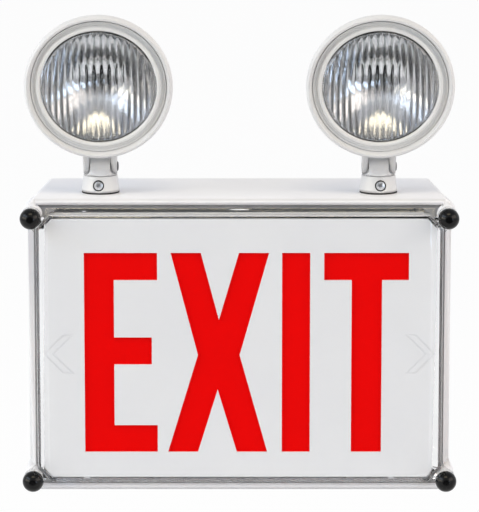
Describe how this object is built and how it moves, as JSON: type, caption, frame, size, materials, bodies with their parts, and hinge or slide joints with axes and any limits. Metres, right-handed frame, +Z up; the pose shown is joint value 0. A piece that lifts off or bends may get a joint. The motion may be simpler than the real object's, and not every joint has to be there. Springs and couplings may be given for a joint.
{
  "type": "emergency exit light",
  "caption": "Wall-mounted wet-location emergency exit sign with a clear shield held by corner thumbscrews and adjustable round lamp heads on top.",
  "frame": {"origin": "centre of the housing's back face, on the wall", "axes": "+Y into the wall, the sign faces -Y, +Z up, +X to the right of someone facing the sign"},
  "size_m": [0.3262, 0.1374, 0.3682],
  "materials": {
    "housing_plastic": "moulded polycarbonate, fine satin",
    "gasket_rubber": "black EPDM",
    "shield_clear": "clear moulded polycarbonate",
    "face_white": "white moulded plastic",
    "diffuser_red": "red translucent acrylic",
    "tray_white": "white moulded plastic",
    "circuit_board": "green solder mask",
    "led_cap": "LED packages",
    "battery_case": "dark grey ABS",
    "plated_steel": "zinc plated",
    "core_steel": "varnished laminations",
    "relay_case": "blue moulded case",
    "capacitor_can": "sleeved can",
    "terminal_plastic": "moulded terminal block",
    "switch_black": "black moulding",
    "button_red": "red moulding",
    "pilot_lens": "translucent red",
    "washer_black": "black sealing washer",
    "knob_black": "glossy black moulding",
    "lamp_plastic": "light grey moulded plastic",
    "nut_nylon": "nylon",
    "bezel_plastic": "light grey moulded plastic",
    "lens_clear": "clear fluted lens",
    "gasket_clear": "grey lens gasket",
    "reflector_bright": "aluminised reflector",
    "bulb_glass": "clear glass",
    "socket_plastic": "heat resistant moulding"
  },
  "bodies": {
    "enclosure": {"back_housing": "housing_plastic", "housing_gasket": "gasket_rubber", "clear_shield": "shield_clear", "face_plate": "face_white", "red_diffuser": "diffuser_red", "inner_pan": "tray_white", "led_board_upper": "circuit_board", "led_board_lower": "circuit_board", "led_row_upper": "led_cap", "led_row_lower": "led_cap", "battery": "battery_case", "battery_strap": "plated_steel", "charger_board": "circuit_board", "transformer": "core_steel", "relay": "relay_case", "capacitors": "capacitor_can", "terminal_block": "terminal_plastic", "pan_screws": "plated_steel", "board_screws": "plated_steel", "strap_screws": "plated_steel", "test_switch": "switch_black", "pilot_light": "pilot_lens", "left_neck_gasket": "gasket_rubber", "left_collar": "lamp_plastic", "left_collar_screw": "plated_steel", "left_locknut": "nut_nylon", "right_neck_gasket": "gasket_rubber", "right_collar": "lamp_plastic", "right_collar_screw": "plated_steel", "right_locknut": "nut_nylon"},
    "test_button": {"test_button": "button_red"},
    "washer_upper_left": {"washer_upper_left": "washer_black"},
    "thumbscrew_upper_left": {"thumbscrew_upper_left": "knob_black"},
    "washer_upper_right": {"washer_upper_right": "washer_black"},
    "thumbscrew_upper_right": {"thumbscrew_upper_right": "knob_black"},
    "washer_lower_left": {"washer_lower_left": "washer_black"},
    "thumbscrew_lower_left": {"thumbscrew_lower_left": "knob_black"},
    "washer_lower_right": {"washer_lower_right": "washer_black"},
    "thumbscrew_lower_right": {"thumbscrew_lower_right": "knob_black"},
    "left_swivel": {"left_knuckle": "lamp_plastic"},
    "left_head": {"left_head_shell": "lamp_plastic", "left_pivot_screw": "plated_steel", "left_pivot_nut": "plated_steel", "left_bezel": "bezel_plastic", "left_lens": "lens_clear", "left_lens_gasket": "gasket_clear", "left_reflector": "reflector_bright", "left_bulb": "bulb_glass", "left_bulb_socket": "socket_plastic"},
    "right_swivel": {"right_knuckle": "lamp_plastic"},
    "right_head": {"right_head_shell": "lamp_plastic", "right_pivot_screw": "plated_steel", "right_pivot_nut": "plated_steel", "right_bezel": "bezel_plastic", "right_lens": "lens_clear", "right_lens_gasket": "gasket_clear", "right_reflector": "reflector_bright", "right_bulb": "bulb_glass", "right_bulb_socket": "socket_plastic"}
  },
  "joints": [
    {"name": "left_pan", "type": "hinge", "parent": "enclosure", "child": "left_swivel", "pos_m": [-0.1051, -0.0743, 0.1247], "axis": [0, 0, 1], "range_deg": [-170, 170]},
    {"name": "left_tilt", "type": "hinge", "parent": "left_swivel", "child": "left_head", "pos_m": [-0.1051, -0.0743, 0.1312], "axis": [1, 0, 0], "range_deg": [-30, 60]},
    {"name": "right_pan", "type": "hinge", "parent": "enclosure", "child": "right_swivel", "pos_m": [0.1051, -0.0743, 0.1247], "axis": [0, 0, 1], "range_deg": [-170, 170]},
    {"name": "right_tilt", "type": "hinge", "parent": "right_swivel", "child": "right_head", "pos_m": [0.1051, -0.0743, 0.1312], "axis": [1, 0, 0], "range_deg": [-30, 60]},
    {"name": "test_button_push", "type": "slide", "parent": "enclosure", "child": "test_button", "axis": [0, 0, 1], "range_m": [0, 0.002], "stiffness_N_per_m": 600, "springref_m": -0.001},
    {"name": "travel_upper_left", "type": "slide", "parent": "enclosure", "child": "washer_upper_left", "axis": [0, -1, 0], "range_m": [0, 0.00529]},
    {"name": "turn_upper_left", "type": "hinge", "parent": "washer_upper_left", "child": "thumbscrew_upper_left", "pos_m": [-0.1552, -0.124, 0.1001], "axis": [0, -1, 0], "range_deg": [0, 1800]},
    {"name": "travel_upper_right", "type": "slide", "parent": "enclosure", "child": "washer_upper_right", "axis": [0, -1, 0], "range_m": [0, 0.00529]},
    {"name": "turn_upper_right", "type": "hinge", "parent": "washer_upper_right", "child": "thumbscrew_upper_right", "pos_m": [0.1552, -0.124, 0.1001], "axis": [0, -1, 0], "range_deg": [0, 1800]},
    {"name": "travel_lower_left", "type": "slide", "parent": "enclosure", "child": "washer_lower_left", "axis": [0, -1, 0], "range_m": [0, 0.00529]},
    {"name": "turn_lower_left", "type": "hinge", "parent": "washer_lower_left", "child": "thumbscrew_lower_left", "pos_m": [-0.1552, -0.124, -0.1001], "axis": [0, -1, 0], "range_deg": [0, 1800]},
    {"name": "travel_lower_right", "type": "slide", "parent": "enclosure", "child": "washer_lower_right", "axis": [0, -1, 0], "range_m": [0, 0.00529]},
    {"name": "turn_lower_right", "type": "hinge", "parent": "washer_lower_right", "child": "thumbscrew_lower_right", "pos_m": [0.1552, -0.124, -0.1001], "axis": [0, -1, 0], "range_deg": [0, 1800]}
  ],
  "couplings": [
    {"joint": "turn_upper_left", "follows": "travel_upper_left", "rad_per_m": 5936.9},
    {"joint": "turn_upper_right", "follows": "travel_upper_right", "rad_per_m": 5936.9},
    {"joint": "turn_lower_left", "follows": "travel_lower_left", "rad_per_m": 5936.9},
    {"joint": "turn_lower_right", "follows": "travel_lower_right", "rad_per_m": 5936.9}
  ]
}
